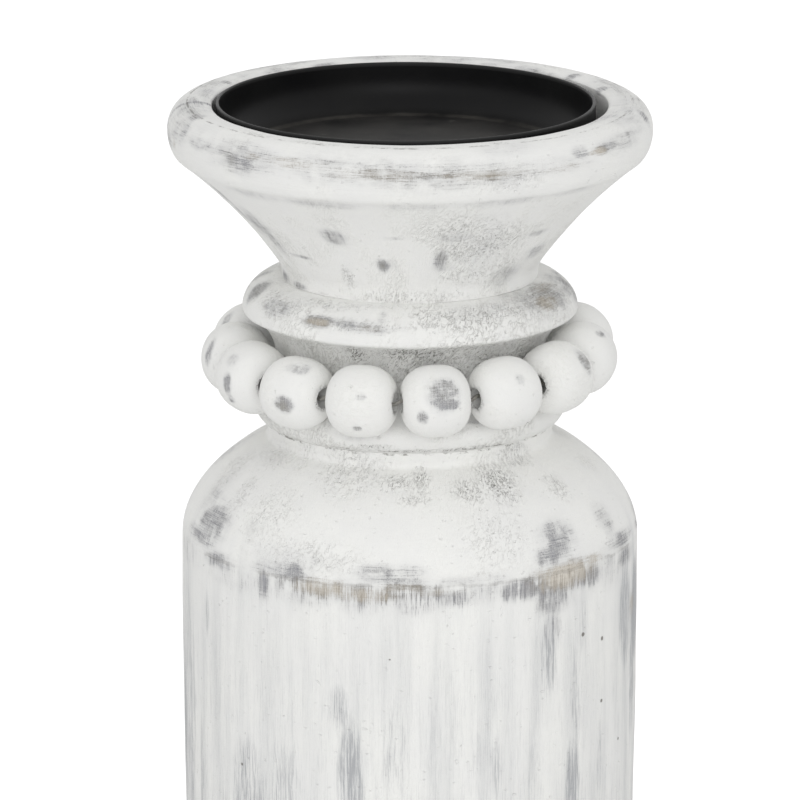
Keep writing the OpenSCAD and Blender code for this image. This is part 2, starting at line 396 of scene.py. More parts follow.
def mark_wear(piece, **patches):
    """Stores how far each point is rubbed to the grey coat, bared, pitted and streaked.

    A patch is its turn from +X in degrees, its drop down the outline, half its width, half
    its height, all in millimetres, and how strong it is. Its edge is soft.
    """
    mesh = piece.data
    wrap = wrap_of(mesh)
    turn = np.arctan2(wrap[:, 1], wrap[:, 0])
    radius = np.hypot(*points_of(mesh)[:, :2].T) / MM
    wear = np.zeros((len(wrap), len(WEAR)))
    for channel, kind in enumerate(WEAR):
        for middle, drop, half_width, half_height, amount in patches.get(kind, ()):
            off = turn - math.radians(middle)
            across = np.arctan2(np.sin(off), np.cos(off)) * radius / half_width
            down = (wrap[:, 2] - drop) / half_height
            patch = amount * np.exp(-0.7 * (across**2 + down**2) ** 1.4)
            wear[:, channel] = np.maximum(wear[:, channel], patch)
    mesh.attributes.new("wear", "FLOAT_COLOR", "POINT").data.foreach_set("color", wear.ravel())


def scattered(seed, count, turns, drops, widths, heights, amounts):
    """Chance patches of wear, each with its place and size drawn between the given limits."""
    chance = random.Random(seed)
    limits = (turns, drops, widths, heights, amounts)
    return [tuple(chance.uniform(*pair) for pair in limits) for _ in range(count)]


def near(drop, line, reach):
    """1 along a line at one drop down the outline, fading to 0 at its reach."""
    return (1.0 - (drop - line).math("ABSOLUTE") * (1 / reach)).rise(0.0, 0.6)


# How paint was brushed on: shares of marks down the piece, of marks round it and of even grain,
# and how lumpy it dried
Brushwork = namedtuple("Brushwork", "down around even lumpy")

# The paint's colours, from the fresh coat to the dirt in its cracks, with painted shade in the
# hollows of the brush marks, between the lumps and in the valleys between ridges. A pair is mixed.
CHALK = (colour(243, 243, 241), colour(247, 247, 244))
BRUSH_SHADE = colour(212, 212, 213)
LUMP_SHADE = colour(196, 194, 188)
THIN_CHALK = colour(194, 194, 195)
HAZE = colour(190, 192, 194)
STROKE = colour(163, 165, 169)
GREY_COAT = (colour(138, 138, 145), colour(194, 194, 196))
YELLOWED_COAT = (colour(142, 138, 128), colour(200, 198, 190))
DEEP_WEAR = colour(118, 113, 105)
BARE_WOOD = (colour(190, 180, 164), colour(222, 215, 203))
PAINTED_VALLEY_SHADE = colour(150, 146, 136)
PIT_DIRT = colour(122, 118, 110)
CRACK_DIRT = colour(104, 98, 90)


def wear_marks(tree):
    """The four kinds of wear that mark_wear or mark_bead stored."""
    marks = tree.node("Attribute", output="Color", attribute_name="wear")
    rubbed, bared, pitted = [tree.node("SeparateColor", {0: marks}, channel)
                             for channel in ("Red", "Green", "Blue")]
    streaked = tree.node("Attribute", output="Alpha", attribute_name="wear")
    return rubbed, bared, pitted, streaked


def dragged(wrap, thread, streaked):
    """The haze and the strokes that a dry brush left where the paint is streaked."""
    broad = wrap.stretched(0.2, 0.015).noise(2.0, 0.5)
    bristles = wrap.stretched(0.6, 0.03).noise(5.0, 0.65)
    haze = (streaked * 1.2 + (0.5 - broad) * 1.8).rise(0.1, 1.3) * streaked.rise(0.0, 0.4)
    strokes = (streaked * 1.1 + (0.5 - bristles) * 3.2 + (0.5 - thread) * 4.5).rise(0.42, 1.25)
    return haze, strokes * streaked.rise(0.3, 0.75)


def chipped(tree, wrap, pitted):
    """Pits and wide dents where the paint is pitted, and the ridges in which it dried."""
    slanted = tree.node("Mapping", {"Vector": wrap, "Rotation": (0, 0.6, 0)})
    specks = slanted.stretched(2.4, 1.1).noise(3.0, 0.6)
    hollows = wrap.stretched(0.7, 0.9).noise(1.0, 0.5)
    pits = (pitted * 0.5 + (0.5 - specks) * 3.0).rise(0.74, 1.0) * pitted.rise(0.04, 0.30)
    dents = (pitted * 0.7 + (0.5 - hollows) * 3.0).rise(0.55, 1.0)
    ridges = slanted.stretched(0.9, 0.36).noise(3.0, 0.6)
    return pits, dents, ridges


def cracked(tree, wrap, drop, wobble, seams, holes, cracks):
    """Adds the cracks along the seams, and then the holes, to other cracks."""
    broken = wrap.stretched(0.2, 0.5).noise(4.0, 0.75).rise(0.44, 0.66)
    for seam, strength in seams:
        cracks = near(drop + wobble * 0.3, seam, 0.4) * broken * strength + cracks
    for hole, radius in holes:
        away = tree.node("VectorMath", {0: wrap, 1: hole}, "Value", operation="DISTANCE")
        cracks = (radius + wobble * 0.6 - away).rise(0.0, 0.3) * 0.95 + cracks
    return cracks


def worn_paint(name, turn_line, above, below, edge=0.1, seams=(), holes=(), spread=0.28, aged=0.5):
    """White chalk paint over a grey coat over wood, worn as the piece's wear marks say.

    above and below are the Brushwork on either side of a line, given as a drop down the
    outline. The line itself is rubbed dark as far as edge says. Each seam, a drop and a
    strength, is where the paint has cracked, and the holes are small dark dots, each a place
    in "wrap" and a radius. spread is how finely patches are broken up, and aged is how far
    the grey coat has yellowed.
    """
    material, tree = start_finish(name)
    wrap = tree.node("Attribute", output="Vector", attribute_name="wrap")
    drop = tree.node("SeparateXYZ", {0: wrap}, "Z")
    rubbed, bared, pitted, streaked = wear_marks(tree)

    # Brush marks, about a quarter of a millimetre wide, and broader patchiness along them
    thread = wrap.stretched(3.6, 0.12).noise(4.0, 0.75)
    ring = wrap.stretched(0.12, 3.6).noise(4.0, 0.75)
    grain = wrap.stretched(4.0, 4.0).noise(3.0, 0.75)
    cloud = wrap.stretched(0.05, 0.05).noise(3.0, 0.6)
    wobble = (wrap.stretched(0.4, 0.05).noise(3.0, 0.6) - 0.5) * 2.0
    past_line = drop - turn_line + wobble
    under = past_line.rise(-1.2, 1.2)
    brush = Brushwork(*[under * (low - high) + high for high, low in zip(above, below)])
    fine = thread * brush.down + ring * brush.around + grain * brush.even
    patchy = wrap.stretched(spread, spread).noise(3.0, 0.6) * brush.even
    patchy = wrap.stretched(spread * 1.5, spread * 0.4).noise(3.0, 0.6) * brush.down + patchy
    patchy = wrap.stretched(spread * 0.4, spread * 1.5).noise(3.0, 0.6) * brush.around + patchy
    uneven = (patchy - 0.5) * 3.0 + 0.9

    # The grey coat shows first as a soft veil and then in the hollows of the brush marks
    veil = (rubbed * uneven).rise(0.0, 1.0)
    grey = (rubbed * uneven * 1.1 + (0.5 - fine) * 4.5).rise(0.58, 1.28) * veil.rise(0.02, 0.25)
    bare = (bared * uneven + (0.5 - fine) * 3.0).rise(0.25, 1.0) * bared.rise(0.04, 0.30)
    haze, strokes = dragged(wrap, thread, streaked)
    pits, dents, ridges = chipped(tree, wrap, pitted)
    lumps = ridges.rise(0.44, 0.58)
    lumpy = brush.lumpy * cloud.rise(0.42, 0.62)
    valleys = near(ridges, 0.47, 0.024) * grain.rise(0.40, 0.58) * (lumpy * 0.7 + pitted * 0.9)
    line_dirt = near(past_line, 0.0, 0.7) * veil.rise(0.1, 0.5) * edge
    cracks = cracked(tree, wrap, drop, wobble, seams, holes, line_dirt)

    white = cloud.rise(0.35, 0.65).blend(*CHALK)
    # Painted shade in the hollows of the brush marks and between the lumps
    white = ((0.5 - fine) * 2.4).rise(0.0, 1.0).blend(white, BRUSH_SHADE)
    white = (lumpy * (1.0 - lumps) * 0.05).blend(white, LUMP_SHADE)
    hatch = fine.rise(0.43, 0.56)
    yellowed = hatch.blend(*YELLOWED_COAT)
    undercoat = (cloud.rise(0.40, 0.60) * aged).blend(hatch.blend(*GREY_COAT), yellowed)
    undercoat = (rubbed.rise(1.1, 1.5) * 0.8).blend(undercoat, DEEP_WEAR)
    scratched = (1.0 - thread.rise(0.38, 0.60)) * 0.2 + grain.rise(0.3, 0.7) * 0.24 + 0.33
    surface = (veil * 0.7).blend(white, THIN_CHALK)
    surface = (haze * scratched).blend(surface, HAZE)
    surface = (strokes * 0.7).blend(surface, STROKE)
    surface = (grey * 0.85).blend(surface, undercoat)
    surface = (bare * 0.8).blend(surface, hatch.blend(*BARE_WOOD))
    # Painted shade in the valleys between the ridges in which the paint dried
    surface = (valleys * 0.6).blend(surface, PAINTED_VALLEY_SHADE)
    surface = (pits * 0.85).blend(surface, PIT_DIRT)
    surface = (cracks.rise(0.0, 1.0) * 0.8).blend(surface, CRACK_DIRT)

    height = fine * 1.0 - grey * 0.3 - bare * 0.3 - pits * 1.2 - dents * 0.9 + patchy * 0.7
    height = height - cracks - valleys * 0.8
    height = height + lumps * lumpy * 1.7 - past_line.rise(-0.2, 0.2) * edge
    gloss = {"Specular IOR Level": 0.35}
    return close_finish(material, tree, surface, 0.78 - grey * 0.12, height, 0.22 * MM, gloss)


ALL_ROUND = (-180, 180)
foot = turned_copy("foot", "turned_foot", spacing=1.2 * MM, steps=360, core=30 * MM)
mark_wear(
    foot,
    rubbed=scattered(11, 26, ALL_ROUND, (16, 28), (4, 16), (1.5, 4), (0.6, 1.1)),
    bared=scattered(12, 8, ALL_ROUND, (17, 26), (3, 9), (1, 2.5), (0.7, 1.1)),
    pitted=scattered(13, 14, ALL_ROUND, (0, 30), (2, 8), (1, 4), (0.3, 0.7)),
)
wrinkle(foot, "foot_waves", size=24 * MM, depth=0.35 * MM)
apply_modifiers(foot)
foot_paint = worn_paint(
    "foot_paint", turn_line=16,
    above=Brushwork(0.1, 0.6, 0.3, 0.4), below=Brushwork(0.2, 0.6, 0.2, 0.2),
)
dress(foot, foot_paint, "stand", "white_paint", "foot")


# ---------------------------------------------------------------- body
# A thick turned cylinder closed by a dome. Its white coat was dragged on downwards with a dry
# brush, and the line where wall and dome meet is rubbed through to the grey coat and the wood.
def soften(piece, top, bottom, repeats):
    """Rounds off the corners between two drops down the outline."""
    drops = wrap_of(piece.data)[:, 2]
    chosen = np.nonzero((drops > top) & (drops < bottom))[0]
    group = piece.vertex_groups.new(name="soft_corner")
    group.add(chosen.tolist(), 1.0, "REPLACE")
    smooth = piece.modifiers.new("soft_corner", "SMOOTH")
    smooth.vertex_group = group.name
    smooth.factor = 0.5
    smooth.iterations = repeats


def place_in_wrap(piece, turn, drop):
    """The "wrap" of the place at that turn from +X, in degrees, and that drop."""
    girth = float(np.hypot(*wrap_of(piece.data)[:, :2].T).max())
    return (girth * math.cos(math.radians(turn)), girth * math.sin(math.radians(turn)), drop)


# The line where wall and dome meet, as a drop down the outline in millimetres
SHOULDER = 39.6
# Holes of woodworm: turn from +X in degrees, drop and radius in millimetres
WORM_HOLES = [
    (-41.5, 58, 0.7), (-33.5, 61, 0.6), (-33.5, 78, 0.55), (-24, 91, 0.6), (-137, 93, 0.5),
    (-95, 59, 0.35), (-150, 142, 0.6), (-60, 171, 0.5), (35, 74, 0.7), (42, 79, 0.5),
    (121, 130, 0.6), (96, 58, 0.4), (163, 104, 0.6), (75, 182, 0.5), (-12, 150, 0.5),
]
# Patches of wear, as mark_wear takes them
BODY_RUBBED = [
    # left of the front, round the shoulder line
    (-153, 31, 8, 5, 0.95),
    (-161, 25, 5, 7, 0.55),
    (-157, 36, 9, 2.6, 0.8),
    (-146, 40, 7, 2.4, 0.85),
    (-126, 38, 8, 3, 0.6),
    (-129, 42, 2, 4.5, 1.0),
    (-120, 38.5, 3.5, 3, 1.0),
    (-113, 42, 7, 4, 0.55),
    (-117, 44, 1.5, 2.5, 0.8),
    (-136, 29, 3, 4, 0.35),
    # the front
    (-98, 36.5, 6, 2.6, 0.8),
    (-90, 36, 4, 2.4, 0.75),
    (-93, 42, 7, 2.0, 0.75),
    (-92, 38.6, 7, 2.6, 0.75),
    (-79, 42.6, 7, 2.6, 0.75),
    (-120, 35, 14, 3.5, 0.4),
    (-79, 38.5, 8, 1.6, 0.6),
    (-72, 38, 5, 1.2, 0.5),
    # right of the front
    (-48, 31, 5.5, 5, 0.95),
    (-52, 35, 4.5, 2.6, 1.1),
    (-60, 42.4, 8, 2.8, 1.2),
    (-52, 46, 6, 4.5, 0.95),
    (-41, 43, 8, 3, 0.9),
    (-52, 54, 3, 5, 0.6),
    (-27, 30, 4, 5, 0.65),
    (-22, 37, 9, 2.2, 0.85),
    (-20, 42, 7, 3, 0.8),
    # a thin veil along the whole line
    (-157, 30, 10, 9, 0.4),
    (-165, 41, 10, 5, 0.4),
    (-140, 43, 12, 4, 0.4),
    (-118, 42, 10, 5, 0.55),
    (-103, 42, 10, 5, 0.55),
    (-90, 42, 12, 5, 0.6),
    (-72, 41, 10, 4, 0.45),
    (-48, 42, 13, 7, 0.5),
    (-28, 42, 10, 6, 0.5),
    *scattered(21, 30, (0, 180), (34, 43), (3, 12), (1.5, 4.5), (0.5, 1.1)),
    *scattered(22, 14, (0, 180), (8, 34), (2, 8), (2, 7), (0.3, 0.7)),
    *scattered(23, 26, ALL_ROUND, (196, 206), (3, 14), (2, 7), (0.5, 1.0)),
]
BODY_BARED = [
    (-92, SHOULDER, 6, 1.0, 0.8),
    (-14, 58, 3, 5, 0.6),
    (-112, 41, 10, 2.4, 0.85),
    (-101, 42, 10, 2.0, 0.8),
    (-84, 41, 8, 1.4, 0.5),
    (-48, 40.8, 10, 3.4, 1.15),
    (-38, 38.6, 5, 1.6, 0.7),
    (-72, 37.5, 3, 1.3, 0.4),
    *scattered(24, 9, (5, 175), (37, 42), (3, 8), (1, 2.4), (0.5, 1.0)),
    *scattered(25, 7, ALL_ROUND, (200, 206), (3, 9), (1, 2.6), (0.6, 1.0)),
]
BODY_PITTED = [
    (-112, 6, 9, 9, 0.55),
    (-95, 9, 5, 3, 0.75),
    (-86, 8, 2, 4.5, 1.0),
    (-89, 15, 4, 2, 0.7),
    (-59, 11, 5, 7, 1.05),
    (-70, 13, 4, 4, 0.95),
    (-38, 17, 3, 4, 0.8),
    (-44, 3, 5, 4, 0.85),
    (-66, 28, 9, 8, 0.42),
    (-118, 33, 16, 4, 0.42),
    *scattered(26, 18, ALL_ROUND, (2, 36), (3, 9), (3, 8), (0.3, 0.55)),
]
BODY_STREAKED = [
    (-152, 56, 1.3, 7, 0.7),
    (-164, 106, 1.6, 26, 0.8),
    (-156, 100, 1.6, 24, 0.7),
    (-135, 100, 7.5, 18, 0.75),
    (-120, 97, 2.2, 16, 0.6),
    (-108, 73, 3.6, 8, 0.68),
    (-105, 94, 3.8, 20, 0.9),
    (-92, 82, 2, 9, 0.6),
    (-81, 66, 3, 14, 0.45),
    (-53, 62, 3.4, 12, 0.75),
    (-44, 76, 3.6, 20, 0.6),
    (-45, 98, 2.8, 14, 1.0),
    (-34, 95, 1.4, 16, 0.7),
    (-68, 90, 2.4, 12, 0.62),
    (-20, 58, 5, 16, 0.85),
    (-13, 70, 4, 30, 0.8),
    # a thin veil all over the wall, stronger lower down
    (-90, 80, 400, 36, 0.42),
    (-140, 80, 18, 50, 0.42),
    (-168, 84, 12, 44, 0.65),
    (-150, 84, 6, 40, 0.45),
    (-42, 56, 4, 12, 0.5),
    (-90, 130, 400, 60, 0.5),
    (-94, 84, 4, 20, 0.6),
    (-73, 84, 4, 14, 0.5),
    (-56, 92, 8, 16, 0.5),
    (-124, 104, 10, 28, 0.6),
    (-84, 98, 9, 26, 0.42),
    (-62, 100, 7, 24, 0.42),
    (-66, 72, 6, 16, 0.45),
    (-95, 118, 30, 30, 0.5),
    (-42, 112, 26, 30, 0.45),
    (-172, 96, 2.5, 24, 1.0),
    (-10, 60, 6, 14, 1.2),
    *scattered(27, 34, (0, 180), (50, 190), (1.3, 6), (10, 34), (0.45, 0.95)),
    *scattered(28, 26, (-180, 0), (130, 200), (1.3, 6), (12, 30), (0.45, 0.95)),
]
body = turned_copy("body", "turned_body", spacing=1.3 * MM, steps=360, core=30 * MM)
mark_wear(body, rubbed=BODY_RUBBED, bared=BODY_BARED, pitted=BODY_PITTED, streaked=BODY_STREAKED)
soften(body, top=1.5, bottom=10, repeats=40)
wrinkle(body, "body_waves", size=30 * MM, depth=0.4 * MM)
apply_modifiers(body)
body_paint = worn_paint(
    "body_paint", turn_line=SHOULDER, edge=0.35, seams=((0.3, 0.8),), aged=0.3,
    above=Brushwork(0.2, 0.4, 0.4, 0.12), below=Brushwork(0.7, 0.15, 0.15, 0.06),
    holes=[(place_in_wrap(body, turn, drop), radius) for turn, drop, radius in WORM_HOLES],
)
dress(body, body_paint, "stand", "white_paint", "body")


# ---------------------------------------------------------------- spool
# The turned neck between body and bowl: a roll below, a deep hollow in which the beads lie,
# and a collar with a thin lip above. Its hollow was stippled with thick paint and is pitted.
SPOOL_RUBBED = [
    (-168, 8, 4, 4, 0.95),
    (-146, 9.5, 6, 2.6, 0.75),
    (-124, 10.5, 5, 1.8, 1.0),
    (-112, 10.5, 5, 1.6, 0.7),
    (-103, 11, 5.5, 1.6, 0.7),
    (-100, 7.5, 1.4, 2.4, 0.5),
    (-30, 6, 12, 6, 0.65),
    (-24, 7, 8, 5, 0.8),
    (-4, 8, 6, 6, 0.8),
    (-60, 7, 14, 3.5, 0.35),
    (-140, 6, 16, 4, 0.25),
    (-110, 10, 22, 2.5, 0.25),
    (-84, 21, 12, 4, 0.15),
    (-55, 22, 22, 7, 0.15),
    *scattered(31, 16, (5, 175), (5, 12), (2, 7), (1, 3), (0.5, 1.0)),
    *scattered(32, 10, (0, 180), (18, 30), (5, 14), (3, 7), (0.4, 0.8)),
    *scattered(33, 12, ALL_ROUND, (40, 50), (2, 8), (0.8, 2), (0.3, 0.7)),
]
SPOOL_BARED = [
    (-124, 10.8, 4, 1.2, 1.1),
    (-104, 11, 3, 1.1, 0.6),
    (-30, 8.2, 5, 2.6, 1.0),
    (-22, 4, 7, 2.4, 0.6),
    (-24, 6.5, 3, 2, 0.5),
    *scattered(34, 5, (10, 170), (8, 12), (2, 5), (1, 1.8), (0.7, 1.1)),
]
SPOOL_PITTED = [
    (-146, 9.5, 6, 2.6, 0.6),
    (-112, 10.5, 9, 2, 0.65),
    (-62, 8, 16, 4, 0.75),
    (-83, 9.8, 5, 1.4, 0.6),
    (-28, 6, 14, 6, 0.9),
    (-111, 22, 2.5, 4, 1.4),
    (-88, 21, 10, 3, 1.3),
    (-60, 23, 24, 8, 0.9),
    (-84, 26, 18, 5, 0.7),
    (-90, 50.5, 8, 0.9, 1.2),
    (-70, 50.5, 12, 0.9, 1.2),
    (-104, 49, 5, 0.9, 0.9),
    (-30, 5, 12, 6, 0.8),
    (-145, 8, 10, 3, 0.75),
    (-112, 3, 22, 1.2, 0.45),
    (-25, 14, 4, 1, 0.55),
    *scattered(35, 16, ALL_ROUND, (4, 12), (3, 9), (1, 3), (0.4, 0.7)),
    *scattered(36, 10, (0, 180), (18, 30), (4, 12), (3, 7), (0.5, 0.9)),
    *scattered(37, 12, ALL_ROUND, (42, 50), (2, 7), (0.5, 1.2), (0.4, 0.8)),
]
spool = turned_copy("spool", "turned_spool", spacing=0.8 * MM, steps=360, core=20 * MM)
mark_wear(spool, rubbed=SPOOL_RUBBED, bared=SPOOL_BARED, pitted=SPOOL_PITTED)
wrinkle(spool, "spool_waves", size=18 * MM, depth=0.3 * MM)
apply_modifiers(spool)
spool_paint = worn_paint(
    "spool_paint", turn_line=16, seams=((0.5, 0.3), (50.8, 0.8)),
    above=Brushwork(0.1, 0.4, 0.5, 0.45), below=Brushwork(0.1, 0.3, 0.6, 0.6),
)
dress(spool, spool_paint, "stand", "white_paint", "spool")


# ---------------------------------------------------------------- bowl
# The candle bowl: a hollow-sided cone under a thick rounded rim, with a flat recess turned in
# its top. The rim is rubbed along its widest line, where hands take hold of it.
BOWL_RUBBED = [
    # the rim, from left to right
    (-177, 26, 1.6, 8, 0.95),
    (-161, 26.5, 3, 2.4, 1.0),
    (-160, 32, 4, 3.5, 0.65),
    (-149, 33.5, 8, 1.8, 0.65),
    (-133, 35, 8.5, 3.2, 0.95),
    (-118, 32.5, 5, 1.0, 0.45),
    (-110, 35, 5, 2.0, 0.6),
    (-97, 35, 9, 2.2, 0.55),
    (-84, 36.3, 9, 2.0, 0.75),
    (-88, 33.5, 6, 1.4, 0.4),
    (-72, 37, 5, 2.0, 0.5),
    (-81, 31, 6, 1.4, 0.35),
    (-69, 31.5, 3, 1.2, 0.4),
    (-46, 33, 3, 1.8, 0.8),
    (-36, 33, 7, 1.4, 0.8),
    (-24, 32, 10, 1.6, 0.6),
    (-9, 31, 3, 2.6, 0.8),
    (-6, 25, 2, 4, 0.5),
    (18, 22, 2.4, 3.4, 0.9),
    (36, 22, 2, 2.4, 0.85),
    (53, 21, 6, 1.8, 0.6),
    # a thin veil along the widest line
    (-165, 30, 6, 8, 0.45),
    (-173, 37, 7, 3, 0.7),
    (-172, 26, 14, 5, 0.6),
    (90, 31, 70, 4, 0.5),
    (-2, 27, 12, 5, 0.5),
    (-133, 34, 14, 4.5, 0.65),
    (-110, 34, 12, 4.5, 0.55),
    (-97, 34.5, 14, 4.2, 0.6),
    (-84, 35.5, 14, 4.2, 0.65),
    (-70, 35.5, 14, 3.6, 0.5),
    (-52, 35, 12, 2.6, 0.4),
    (-30, 33, 12, 3, 0.5),
    (-66, 29, 8, 2.4, 0.4),
    # just under the crease
    (-134, 46, 9, 2.6, 0.5),
    (-113, 46, 11, 2.6, 0.55),
    (-90, 45.5, 9, 2.4, 0.45),
    (-66, 45, 12, 2.4, 0.5),
    (-46, 44.5, 10, 2.2, 0.45),
    # the cone
    (-155, 58, 2, 12, 0.75),
    (-147, 70, 3, 6, 0.7),
    (-136, 74.5, 3.5, 0.7, 0.9),
    (-115, 63, 3.6, 3.4, 0.88),
    (-95, 62, 2.6, 0.8, 0.5),
    (-76, 62, 5, 3, 0.5),
    (-79, 72, 1.9, 4.2, 0.95),
    (-77, 75, 3.2, 1.6, 0.6),
    (-100, 74, 1.5, 2.4, 1.35),
    (-98.5, 73.5, 2.6, 2.2, 0.55),
    (-70, 68, 6, 6, 0.35),
    (-46, 81, 5, 4, 0.6),
    (-44, 65, 3.4, 1.4, 0.75),
    (-35, 74, 4, 3, 0.75),
    (-166, 86, 4, 1.6, 0.9),
    (-149, 86.5, 3.4, 0.9, 0.9),
    (-149, 64, 5, 7, 0.7),
    (-168, 58, 5, 6, 0.9),
    *scattered(41, 22, (0, 180), (31, 38), (3, 11), (1, 3), (0.5, 1.05)),
    *scattered(42, 14, (0, 180), (43, 46), (5, 12), (0.8, 1.4), (0.4, 0.7)),
    *scattered(43, 16, (0, 180), (50, 84), (1.5, 5), (1.5, 6), (0.4, 0.9)),
    *scattered(44, 12, (40, 180), (19, 27), (2, 7), (1, 2), (0.4, 0.8)),
    *scattered(49, 26, (-35, 215), (22, 34), (6, 14), (2, 5), (0.35, 0.6)),
]
BOWL_BARED = [
    (-130, 33.3, 3.5, 1.0, 0.75),
    (-82, 35.5, 1.6, 1.0, 0.7),
    (-118, 33.5, 10, 1.6, 0.55),
    (-98, 35, 16, 2, 0.55),
    (-75, 35.5, 14, 1.6, 0.6),
    (-52, 36, 7, 1.1, 0.45),
    (-40, 33.6, 3.4, 1.1, 1.1),
    (-165, 37, 1.6, 1.4, 0.8),
    *scattered(45, 6, (5, 175), (33, 36), (2, 5), (0.8, 1.6), (0.6, 1.0)),
]
BOWL_PITTED = [
    # chips along the inner edge
    (-133, 25.6, 4, 0.8, 0.75),
    (-114, 26, 6, 0.6, 0.8),
    (-96, 26, 10, 0.6, 0.62),
    (-67, 25.6, 2, 0.8, 0.9),
    (-116, 80, 1.5, 4, 0.75),
    (-72, 58, 10, 6, 0.6),
    (-64, 66, 10, 8, 0.85),
    (-58, 78, 12, 5, 0.5),
    (-90, 86, 14, 2, 0.6),
    (-66, 37, 10, 4, 0.42),
    *scattered(46, 12, (0, 180), (24, 27), (2, 8), (0.5, 1), (0.5, 0.9)),
    *scattered(47, 14, (0, 180), (48, 86), (4, 12), (3, 9), (0.3, 0.6)),
]
BOWL_STREAKED = [
    (-60, 70, 16, 18, 0.2),
    *scattered(48, 8, (0, 180), (55, 85), (3, 9), (6, 14), (0.25, 0.5)),
]
bowl = turned_copy("bowl", "turned_bowl", spacing=0.9 * MM, steps=360, core=20 * MM)
mark_wear(bowl, rubbed=BOWL_RUBBED, bared=BOWL_BARED, pitted=BOWL_PITTED, streaked=BOWL_STREAKED)
soften(bowl, top=41, bottom=49, repeats=30)
soften(bowl, top=76, bottom=86.5, repeats=30)
wrinkle(bowl, "bowl_waves", size=22 * MM, depth=0.35 * MM)
apply_modifiers(bowl)
bowl_paint = worn_paint(
    "bowl_paint", turn_line=44, seams=((26.5, 0.7), (86.8, 0.3)),
    above=Brushwork(0.15, 0.5, 0.35, 0.15), below=Brushwork(0.4, 0.3, 0.3, 0.35),
)
dress(bowl, bowl_paint, "stand", "white_paint", "bowl")


# ---------------------------------------------------------------- dowels
# Three round beech dowels, glued into blind bores, join foot, body, spool and bowl. Nothing of
# them shows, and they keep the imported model's own shape.
def dowel_wood():
    material, tree = start_finish("dowel_wood")
    place = tree.node("TexCoord", output="Object")
    grain = place.stretched(900, 60).noise(4.0, 0.6)
    flecks = place.stretched(2500, 300).noise(2.0, 0.5).rise(0.60, 0.72)
    wood = grain.rise(0.35, 0.65).blend(colour(186, 150, 108), colour(214, 184, 142))
    wood = (flecks * 0.5).blend(wood, colour(150, 112, 74))
    roughness = 0.55 + flecks * 0.2
    gloss = {"Specular IOR Level": 0.4}
    return close_finish(material, tree, wood, roughness, grain, 0.1 * MM, gloss, strength=0.5)


beech = dowel_wood()
for node in ("foot_dowel", "spool_dowel", "bowl_dowel"):
    dowel_mesh = frame["nodes"][node].data
    dowel_mesh.materials.clear()
    dowel_mesh.materials.append(beech)


# ---------------------------------------------------------------- cup
# A pan pressed from thin sheet steel, with a rounded edge and a satin black coat. It lies loose
# in the bowl's recess, a little off its middle, and keeps candle wax off the wood.
def cup_coat(lip):
    """Satin black, duller and a little dusty on the floor, paler there with painted reflection, and
    with painted highlights where floor meets wall and along the lip.

    The outline runs from the floor's middle outwards and up. The floor ends after about
    40 mm, and the lip is where lip says.
    """
    material, tree = start_finish("satin_black")
    place = tree.node("TexCoord", output="Object")
    wrap = tree.node("Attribute", output="Vector", attribute_name="wrap")
    run = tree.node("SeparateXYZ", {0: wrap}, "Z")
    floor = 1.0 - run.rise(38, 46)
    orange_peel = place.stretched(900, 900).noise(2.0, 0.5)
    dust = place.stretched(1500, 1500).noise(3.0, 0.6).rise(0.68, 0.78)
    smudge = place.stretched(45, 45).noise(4.0, 0.65)
    scuffs = place.stretched(160, 900).noise(3.0, 0.7).rise(0.66, 0.74)
    coat = smudge.rise(0.4, 0.75).blend(colour(14, 14, 15), colour(21, 21, 21))
    # The floor's paler tone is painted reflection
    coat = (floor * smudge.rise(0.2, 0.7)).blend(coat, colour(52, 51, 49))
    # Painted highlight along the corner where floor meets wall
    coat = (near(run, 41, 1.6) * smudge.rise(0.3, 0.6) * 0.7).blend(coat, colour(74, 72, 68))
    coat = (dust * (floor * 0.3 + 0.08)).blend(coat, colour(120, 118, 112))
    coat = (scuffs * floor * 0.3).blend(coat, colour(96, 95, 92))
    # Painted highlight along the lip
    coat = (near(run, lip, 1.1) * 0.6).blend(coat, colour(54, 54, 54))
    roughness = 0.34 + smudge * 0.14 + floor * 0.1
    gloss = {"Specular IOR Level": 0.14}
    return close_finish(material, tree, coat, roughness, orange_peel, 0.05 * MM, gloss, strength=0.4)


cup_low, cup_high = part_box("cup")
cup_axis = Matrix.Translation(((cup_low.x + cup_high.x) / 2, (cup_low.y + cup_high.y) / 2, 0))
cup = turned_copy(
    "cup", "pressed_cup", spacing=1.4 * MM, steps=256, core=0, on_lathe=cup_axis.inverted())
cup.data.transform(cup_axis)
wrinkle(cup, "cup_waves", size=35 * MM, depth=0.2 * MM)
apply_modifiers(cup)
# The lip is where the cup is highest
cup_lip = max(zip(points_of(cup.data)[:, 2], wrap_of(cup.data)[:, 2]))[1]
dress(cup, cup_coat(float(cup_lip)), "cup", "black_metal", "cup")


# ---------------------------------------------------------------- cord
# White cotton string of three plies, tied into a closed loop through all the beads. Its knot
# is drawn into the bores of two beads at the back.
spins = {j["child"]: j for j in frame["joints"] if j["name"].endswith("_spin")}
strand_turn = next(j for j in frame["joints"] if j["name"] == "strand_turn")
strand_middle = Vector(strand_turn["pos_m"])
strand_axis = Vector(strand_turn["axis"]).normalized()
first_out = (Vector(spins["bead_01"]["pos_m"]) - strand_middle).normalized()
# Out to the first bead, on along the loop, and up along the strand's axis
strand_place = Matrix((first_out, strand_axis.cross(first_out), strand_axis)).transposed().to_4x4()
strand_place.translation = strand_middle


def cotton():
    material, tree = start_finish("cotton_string")
    place = tree.node("TexCoord", output="Object")
    fibres = place.stretched(3500, 3500).noise(4.0, 0.7)
    soil = place.stretched(120, 120).noise(3.0, 0.6)
    tone = (fibres * 0.6 + soil * 0.4).rise(0.38, 0.6)
    tone = tone.blend(colour(176, 172, 164), colour(228, 226, 220))
    return close_finish(material, tree, tone, 0.9, fibres, 0.1 * MM, strength=0.8)


